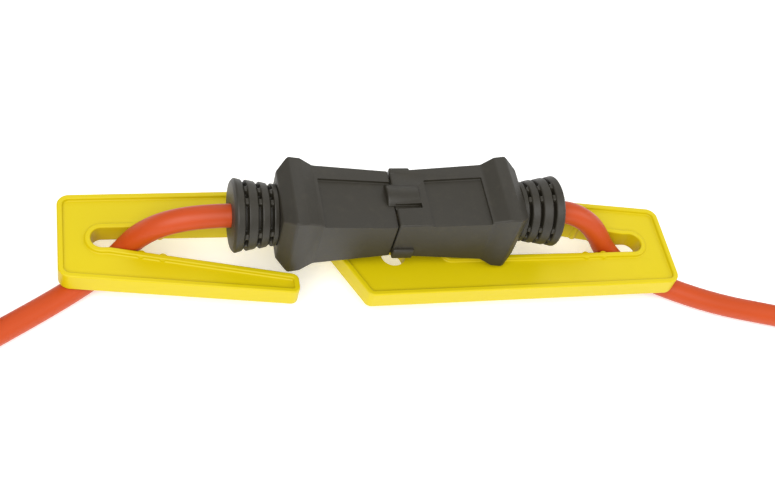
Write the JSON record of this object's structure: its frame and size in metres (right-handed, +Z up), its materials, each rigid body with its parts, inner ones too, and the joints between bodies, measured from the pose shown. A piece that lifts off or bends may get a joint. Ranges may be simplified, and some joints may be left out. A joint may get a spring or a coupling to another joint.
{
  "type": "locked power cord connection",
  "caption": "Mated grounded plug and connector on two heavy round cords, held together by a one-piece slotted flat cord lock, with the spare cord folded in two tied hanks.",
  "frame": {"origin": "centre of the box round the cord lock and the mated plug and connector", "axes": "+X along the plug and connector towards the connector's cord, +Y across the lock towards the back, +Z up from the lock to the connector"},
  "size_m": [0.6959, 0.1101, 0.0524],
  "materials": {
    "lock_yellow": "smooth injection-moulded bright yellow",
    "cord_orange": "satin orange vinyl jacket",
    "moulding_black": "soft moulded warm black vinyl",
    "insert_black": "hard black moulded insert",
    "contact_brass": "stamped brass",
    "wire_black": "black wire insulation",
    "wire_white": "white wire insulation",
    "wire_green": "green wire insulation",
    "tie_strap": "black woven strap"
  },
  "bodies": {
    "lock_and_cords": {"cord_lock": "lock_yellow", "plug_grip": "moulding_black", "plug_strain_relief": "moulding_black", "plug_insert": "insert_black", "plug_line_blade": "contact_brass", "plug_neutral_blade": "contact_brass", "plug_ground_pin": "contact_brass", "plug_line_wire": "wire_black", "plug_neutral_wire": "wire_white", "plug_ground_wire": "wire_green", "left_cord": "cord_orange", "left_hank": "cord_orange", "left_lead": "cord_orange", "left_tie": "tie_strap", "right_cord": "cord_orange", "right_hank": "cord_orange", "right_lead": "cord_orange", "right_tie": "tie_strap", "far_connector_grip": "moulding_black", "far_connector_strain_relief": "moulding_black", "far_connector_insert": "insert_black", "far_connector_line_contact": "contact_brass", "far_connector_neutral_contact": "contact_brass", "far_connector_ground_contact": "contact_brass", "far_connector_line_wire": "wire_black", "far_connector_neutral_wire": "wire_white", "far_connector_ground_wire": "wire_green", "far_plug_grip": "moulding_black", "far_plug_strain_relief": "moulding_black", "far_plug_insert": "insert_black", "far_plug_line_blade": "contact_brass", "far_plug_neutral_blade": "contact_brass", "far_plug_ground_pin": "contact_brass", "far_plug_line_wire": "wire_black", "far_plug_neutral_wire": "wire_white", "far_plug_ground_wire": "wire_green"},
    "connector": {"connector_grip": "moulding_black", "connector_strain_relief": "moulding_black", "connector_insert": "insert_black", "connector_line_contact": "contact_brass", "connector_neutral_contact": "contact_brass", "connector_ground_contact": "contact_brass", "connector_line_wire": "wire_black", "connector_neutral_wire": "wire_white", "connector_ground_wire": "wire_green"}
  },
  "joints": [
    {"name": "connector_backoff", "type": "slide", "parent": "lock_and_cords", "child": "connector", "axis": [1, 0, 0], "range_m": [0, 0.002]}
  ]
}
